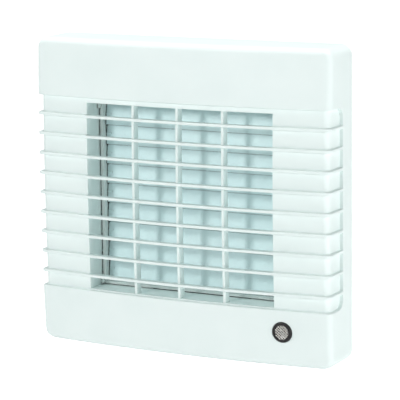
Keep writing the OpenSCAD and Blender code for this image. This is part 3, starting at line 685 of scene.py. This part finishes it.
def drill(form, x, z, radius):
    """The form with a round hole along Y at (x, z)."""
    near, far = -40.0, -15.0
    profile = ((ON_AXIS, near), (radius, near), (radius, far), (ON_AXIS, far))
    blank = loose("drilled", form)
    bit = loose("drill_bit", Form().lathe(profile, 64, (x, z)))
    cut = blank.modifiers.new("hole", "BOOLEAN")
    cut.operation = "DIFFERENCE"
    cut.solver = "EXACT"
    cut.object = bit
    done = blank.evaluated_get(bpy.context.evaluated_depsgraph_get()).to_mesh()
    result = Form().put([v.co[:] for v in done.vertices], [tuple(p.vertices) for p in done.polygons])
    for item in (blank, bit):
        bpy.data.objects.remove(item)
    return result


def front_cover():
    """Cover in one piece: ribbed skin with the sensor's hole, slats, bars and tunnel."""
    form = drill(cover_shell(), SENSOR[0], SENSOR[1], SENSOR_HOLE_R)
    cover_slats(form)
    cover_bars(form)
    cover_tunnel(form)
    piece("ribbed_front_cover", form, "cover", cover_abs, ["front_cover"], corner=38.0)


front_cover()


# ---------- humidity sensor ----------


def bezel_ring(front, back):
    """Rim of the sensor: a round bead in front, a lip inside it and a plain tube behind."""
    bore, lip, outer = BEZEL_BORE_R, BEZEL_LIP_R, BEZEL_R
    profile = [(bore, back), (bore, front + 0.75), (lip - 0.15, front + 0.7)]
    profile += [(lip, front + 0.55), (lip, front + 0.3)]
    mid, half, bead = (outer + lip) / 2, (outer - lip) / 2, 0.5
    for degrees in range(0, 181, 20):
        a = math.radians(degrees)
        profile.append((mid - half * math.cos(a), front + bead - bead * math.sin(a)))
    profile += [(outer, front + 1.0), (outer, back - 0.3), (outer - 0.3, back)]
    form = Form().lathe(profile, 96, SENSOR)
    piece("sensor_bezel_ring", form, "base", bezel_nylon, ["sensor_bezel"])


def sensor_weave(front):
    """Plain weave of two sets of round wires, cut to a disc inside the bezel's lip."""
    # the real weave is finer; its wires stand 1.15 mm apart so that they can be seen
    pitch = 1.15
    wire_radii = (0.27, 0.15)
    lift = 0.18
    depth = 0.42
    turn = Matrix.Rotation(math.radians(38), 3, "Y")
    reach = BEZEL_LIP_R - 0.12
    count = int(reach / pitch)
    form = Form()
    for way in (0, 1):
        for n in range(-count, count + 1):
            across = n * pitch
            long = math.sqrt(max(reach * reach - across * across, 0.0))
            if long < pitch:
                continue
            steps = max(int(2 * long / (pitch / 4)), 6)
            path = []
            for i in range(steps + 1):
                along = -long + 2 * long * i / steps
                phase = math.pi * (along / pitch + n + way)
                y = front + depth + lift * math.cos(phase) * (1 if way else -1)
                spot = turn @ Vector((across, 0.0, along) if way else (along, 0.0, across))
                path.append((SENSOR[0] + spot.x, y, SENSOR[1] + spot.z))
            form.wire(path, wire_radii[way])
    piece("woven_sensor_mesh", form, "base", sensor_wire, ["sensor_mesh"], weigh=False)


def sensor():
    """Dark bezel with its light mesh."""
    low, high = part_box("sensor_bezel")
    bezel_ring(low.y / MM, high.y / MM)
    sensor_weave(low.y / MM)


sensor()


# ---------- fan ----------


def impeller_hub(form):
    """Domed cup with a rolled nose and a thin wall."""
    back = HUB_FRONT + HUB_LEN
    profile = [(ON_AXIS, HUB_FRONT + 0.1), (6.0, HUB_FRONT), (15.0, HUB_FRONT + 0.35)]
    for degrees in range(15, 91, 15):
        a = math.radians(degrees)
        r = HUB_R - HUB_NOSE_R + HUB_NOSE_R * math.sin(a)
        profile.append((r, HUB_FRONT + HUB_NOSE_R + 0.4 - HUB_NOSE_R * math.cos(a)))
    profile += [(HUB_R, back - 0.2), (HUB_R - 0.2, back), (CUP_R + 0.1, back), (CUP_R, back - 0.3)]
    profile += [(CUP_R, HUB_FRONT + 3.0), (CUP_R - 1.0, HUB_FRONT + 1.75), (ON_AXIS, HUB_FRONT + 1.6)]
    form.lathe(profile, 96)


def impeller_section(share, turned):
    """Closed section of a blade at a share of its span, thick at the nose and thin at the tail."""
    chords = 10
    root, tip = HUB_R - 1.0, FAN_R - 0.15
    r = root + (tip - root) * share
    pitch = math.radians(40 - 12 * share)
    chord = 19.0 + 8.0 * share
    sweep = math.radians(-9 * share * share)
    first, last = HUB_FRONT + 0.5, HUB_FRONT + HUB_LEN + 0.9
    upper, lower = [], []
    for c in range(chords + 1):
        u = c / chords
        camber = 1.7 * math.sin(math.pi * u)
        thick = 0.55 + 0.75 * math.sin(math.pi * min(u * 1.4 + 0.12, 1.0)) * (1 - 0.4 * share)
        along = (u - 0.5) * chord
        for side, out in ((upper, thick / 2), (lower, -thick / 2)):
            y = HUB_FRONT + HUB_LEN / 2 + along * math.sin(pitch) + (camber + out) * math.cos(pitch)
            t = along * math.cos(pitch) - (camber + out) * math.sin(pitch)
            a = sweep + t / r + turned
            side.append((r * math.cos(a), min(max(y, first), last), r * math.sin(a)))
    return upper + lower[::-1]


def impeller():
    """Seven swept, twisted blades with a thick nose and a thin tail on a domed hub."""
    form = Form()
    impeller_hub(form)
    spans = 12
    for n in range(FAN_BLADES):
        turned = math.tau * n / FAN_BLADES
        form.loft([impeller_section(s / spans, turned) for s in range(spans + 1)])
    piece("fan_impeller", form, "rotor", impeller_nylon, ["impeller"], corner=45.0)


impeller()


def stator_windings():
    """Six coils of round enamelled wire, wound in two layers round the teeth."""
    low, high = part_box("stator_coils")
    front, back = low.y / MM, high.y / MM
    mid_y = (front + back) / 2
    wire_r = 0.32
    inner_x, outer_x = 8.8, 12.2
    turns, per_turn = 5, 16
    squareness = 0.35
    form = Form()
    for tooth in range(COILS):
        spin = Matrix.Rotation(math.tau * tooth / COILS, 3, "Y")
        path = []
        for layer in (0, 1):
            half_z = 1.85 + 0.62 * layer
            half_y = (back - front) / 2 - 0.95 + 0.6 * layer
            for step in range(turns * per_turn + 1):
                share = step / (turns * per_turn)
                a = math.tau * step / per_turn
                x = inner_x + (outer_x - inner_x) * (1 - share if layer else share)
                c, s = math.cos(a), math.sin(a)
                z = half_z * math.copysign(abs(c) ** squareness, c)
                y = mid_y + half_y * math.copysign(abs(s) ** squareness, s)
                path.append(spin @ Vector((x, y, z)))
        form.wire(path, wire_r)
    copper = enamelled_copper
    piece("stator_windings", form, "base", copper, ["stator_coils"], weigh=False)


stator_windings()


# ---------- heat core, filters and seals ----------


def honeycomb():
    """Ceramic block with square channels; the real ones are finer, and these are 3.2 mm apart to show."""
    low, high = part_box("heat_core")
    front, back = low.y / MM, high.y / MM
    radius = high.x / MM
    pitch, wall, skin = 3.2, 0.62, 1.1
    half = pitch / 2
    open_half = half - wall / 2
    count = int(radius / pitch)
    corners = ((-1, -1), (1, -1), (1, 1), (-1, 1))
    beside = ((0, -1), (1, 0), (0, 1), (-1, 0))

    def square(i, j, reach):
        return [(i * pitch + a * reach, j * pitch + b * reach) for a, b in corners]

    def inside(i, j):
        return all(math.hypot(x, z) < radius - skin for x, z in square(i, j, half))

    def both_ends(*rings):
        return [(x, y, z) for y in (front, back) for ring in rings for x, z in ring]

    span = range(-count, count + 1)
    cells = [(i, j) for i in span for j in span if inside(i, j)]
    form = Form()
    for i, j in cells:
        faces = []
        for k in range(4):
            n = (k + 1) % 4
            faces += [(k, n, 4 + n, 4 + k), (8 + k, 12 + k, 12 + n, 8 + n), (4 + k, 4 + n, 12 + n, 12 + k)]
        form.put(both_ends(square(i, j, half), square(i, j, open_half)), faces)
    for i, j in cells:
        for k, (di, dj) in enumerate(beside):
            if (i + di, j + dj) in cells:
                continue
            edge = [square(i, j, half)[k], square(i, j, half)[(k + 1) % 4]]
            (ax, az), (bx, bz) = edge
            ra, rb = radius / math.hypot(ax, az), radius / math.hypot(bx, bz)
            rim = edge + [(bx * rb, bz * rb), (ax * ra, az * ra)]
            form.put(both_ends(rim), [(0, 1, 2, 3), (7, 6, 5, 4), (3, 2, 6, 7)])
    ceramic = core_ceramic
    piece("ceramic_honeycomb", form, "base", ceramic, ["heat_core"], corner=30.0, weigh=False)


honeycomb()


def foam_disc(node, name, seed):
    """A cut foam disc: soft rounded rim, pinched a little where it is held, with an uneven face."""
    low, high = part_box(node)
    front, back = low.y / MM, high.y / MM
    radius = high.x / MM
    rings, around = 16, 96
    turns = [math.tau * k / around for k in range(around)]

    def swell(x, z):
        broad = math.sin(x * 0.21 + seed) * math.cos(z * 0.17 - seed)
        fine = math.sin(x * 0.5 - z * 0.43 + 2 * seed)
        return 0.16 * (broad + 0.6 * fine)

    def sheet(base, sign):
        points = []
        for i in range(rings):
            r = (radius - 0.7) * i / (rings - 1)
            for a in turns:
                x, z = r * math.cos(a), r * math.sin(a)
                points.append((x, base + sign * (0.3 + swell(x, z)), z))
        return points

    # the back sheet is laid in reverse, so the seam between the rim and it pairs the points the other way
    rim = [(radius - 0.15, front + 0.8), (radius, (front + back) / 2), (radius - 0.15, back - 0.8)]
    points = sheet(front, 1) + [(r * math.cos(a), y, r * math.sin(a)) for r, y in rim for a in turns]
    points += sheet(back, -1)[::-1]
    seam = rings + len(rim) - 1
    faces = []
    for i in range(rings * 2 + len(rim) - 1):
        here, there = i * around, (i + 1) * around
        for k in range(around):
            n = (k + 1) % around
            if i == seam:
                faces.append((here + k, here + n, there + around - 1 - n, there + around - 1 - k))
            else:
                faces.append((here + k, here + n, there + n, there + k))
    form = Form().put(points, faces)
    disc = piece(name, form, "base", filter_foam, [node], corner=60.0, weigh=False)


foam_disc("fan_side_filter", "fan_side_foam_filter", 0.4)
foam_disc("wall_side_filter", "wall_side_foam_filter", 1.7)


def foam_ring(node, name, spans):
    """Foam strip bent into a ring: flat where it is stuck down, bulging a little at its free sides."""
    form = Form()
    for inner, outer, front, back in spans:
        ease = min(outer - inner, back - front) * 0.28
        profile = []
        corners = ((inner, front, 180), (outer, front, 270), (outer, back, 0), (inner, back, 90))
        for r, y, a in corners:
            cr = r + ease if r == inner else r - ease
            cy = y + ease if y == front else y - ease
            for step in (0, 30, 60, 90):
                t = math.radians(a + step)
                profile.append((cr + ease * math.cos(t), cy + ease * math.sin(t)))
        form.lathe(profile, 120)
    ring = piece(name, form, "base", seal_foam, [node], corner=50.0)


def seals():
    """Foam gasket against the wall, and a foam ring at each end of the core."""
    low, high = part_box("wall_gasket")
    foam_ring("wall_gasket", "wall_foam_gasket", [(GASKET_IN, high.x / MM, low.y / MM, high.y / MM)])
    low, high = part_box("core_seals")
    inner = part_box("heat_core")[1].x / MM + SEAL_GAP
    outer, front, back = high.x / MM, low.y / MM, high.y / MM
    ends = [(inner, outer, front, front + SEAL_W), (inner, outer, back - SEAL_W, back)]
    foam_ring("core_seals", "core_foam_seals", ends)


seals()


# ---------- carried-over pieces ----------

dress("base_plate", base_abs, 0.35)
dress("spigot", base_abs, 0.4)
dress("fan_frame", fan_nylon, 0.3)
dress("fan_screws", zinc_steel, 0.15)
dress("stator_core", stator_steel, 0.1)
dress("motor_board", board_epoxy, 0.1)
dress("front_bearing", bearing_steel, 0.1)
dress("rear_bearing", bearing_steel, 0.1)
dress("motor_shaft", bearing_steel, 0.1)
dress("rotor_cup", rotor_steel, 0.25)
dress("rotor_magnet", ferrite, 0.2)
dress("shaft_clip", spring_steel, 0.08)
dress("core_retainer", base_abs, 0.3)
dress("shutter_frame", shutter_abs, 0.3)
for number in range(1, 10):
    dress(f"shutter_blade_{number}", blade_abs, 0.22)
dress("shutter_link", link_acetal, 0.15)
dress("actuator_body", polyester, 0.35)
dress("actuator_plunger", bearing_steel, 0.1)
dress("actuator_screws", zinc_steel, 0.12)
dress("shutter_screws", zinc_steel, 0.12)
dress("control_board", board_epoxy, 0.12)
dress("board_screws", zinc_steel, 0.12)
dress("transformer", transformer_tape, 0.5)
dress("relay", relay_case, 0.5)
dress("capacitors", capacitor_sleeve, 0.5)
dress("board_chips", chip_epoxy, 0.18)
dress("trimmer_bases", trimmer_blue, 0.2)
dress("timer_knob", trimmer_white, 0.15)
dress("humidity_knob", trimmer_white, 0.15)
dress("sensor_holder", shutter_abs, 0.15)
dress("sensor_element", polyester, 0.25)
dress("terminal_block", terminal_nylon, 0.25)
dress("terminal_screws", terminal_brass, 0.15)
dress("cable_grommet", rubber, 0.4)
dress("cable_clamp", terminal_nylon, 0.3)
dress("clamp_screws", zinc_steel, 0.12)


# ---------- floor, light and camera ----------


def paper_floor():
    """Pale paper under and behind the unit, white where the camera looks straight at it."""
    far, level = 8.0, -0.40
    corners = [(-far, -far, level), (far, -far, level), (far, far, level), (-far, far, level)]
    mesh = bpy.data.meshes.new("studio_floor")
    mesh.from_pydata(corners, [], [(0, 1, 2, 3)])
    floor = bpy.data.objects.new("studio_floor", mesh)
    bpy.context.scene.collection.objects.link(floor)
    paper, tree, shader, place = start("pale_studio_paper")
    fibre = add(tree, "ShaderNodeTexNoise", {"Vector": place, "Scale": per_mm(3.0), "Detail": 4.0})
    amount = spread(tree, fibre.outputs[0], 0.0, 1.0)
    tree.links.new(blend_colours(tree, "#E6E8E8", "#E0E2E2", amount), shader.inputs["Base Color"])
    shader.inputs["Roughness"].default_value = 0.9
    shader.inputs["Emission Color"].default_value = WHITE
    rays = add(tree, "ShaderNodeLightPath")
    tree.links.new(rays.outputs["Is Camera Ray"], shader.inputs["Emission Strength"])
    floor.data.materials.append(paper)


def softbox(name, spot, size, power):
    """A white area lamp at spot, in metres, that faces the unit."""
    light = bpy.data.lights.new(name, "AREA")
    light.shape = "RECTANGLE"
    light.size, light.size_y = size
    light.energy = power
    made = bpy.data.objects.new(name, light)
    made.location = spot
    made.rotation_euler = (-Vector(spot)).to_track_quat("-Z", "Y").to_euler()
    bpy.context.scene.collection.objects.link(made)


def white_room():
    """A dim white room for the unit, and a full white one for the camera."""
    world = bpy.data.worlds.new("studio_white")
    world.use_nodes = True
    tree = world.node_tree
    tree.nodes.clear()
    sky = add(tree, "ShaderNodeBackground", {"Color": WHITE, "Strength": 0.2})
    seen = add(tree, "ShaderNodeBackground", {"Color": WHITE, "Strength": 1.0})
    rays = add(tree, "ShaderNodeLightPath")
    choice = {0: rays.outputs["Is Camera Ray"], 1: sky.outputs[0], 2: seen.outputs[0]}
    both = add(tree, "ShaderNodeMixShader", choice)
    add(tree, "ShaderNodeOutputWorld", {"Surface": both.outputs[0]})
    bpy.context.scene.world = world
    bpy.context.scene.view_settings.view_transform = "Standard"


def studio():
    """Floor, four softboxes and the room's own light."""
    paper_floor()
    softbox("front_softbox", (-0.72, -1.85, 0.66), (0.42, 0.42), 19.5)
    softbox("fill_softbox", (1.3, -1.5, 0.1), (0.7, 0.7), 3.0)
    softbox("side_softbox", (2.0, -0.06, -0.25), (0.9, 1.2), 34.0)
    softbox("top_softbox", (-0.2, 0.15, 2.0), (0.9, 0.9), 36.0)
    white_room()


# the camera's angles in degrees round the target, its distance in metres and its lens in millimetres
AZIMUTH = 27.66
ELEVATION = 10.54
ROLL = -0.83
DISTANCE = 1.1775
TARGET = Vector((0.0, -0.018, 0.0))
LENS = 192.64
SHIFT = (0.0283, -0.0059)


def camera():
    """A long lens in front of the unit, a little to its right and above."""
    az, el, roll = (math.radians(a) for a in (AZIMUTH, ELEVATION, ROLL))
    towards = Vector((math.sin(az) * math.cos(el), -math.cos(az) * math.cos(el), math.sin(el)))
    right = Vector((math.cos(az), math.sin(az), 0.0))
    up = towards.cross(right)
    turned = right * math.cos(roll) + up * math.sin(roll)
    upright = up * math.cos(roll) - right * math.sin(roll)
    lens = bpy.data.cameras.new("camera")
    lens.lens = LENS
    lens.sensor_width = 36.0
    lens.shift_x, lens.shift_y = SHIFT
    lens.clip_end = 30.0
    made = bpy.data.objects.new("camera", lens)
    spin = Matrix((turned, upright, towards)).transposed().to_4x4()
    made.matrix_world = Matrix.Translation(TARGET + towards * DISTANCE) @ spin
    bpy.context.scene.collection.objects.link(made)
    bpy.context.scene.camera = made


studio()
camera()
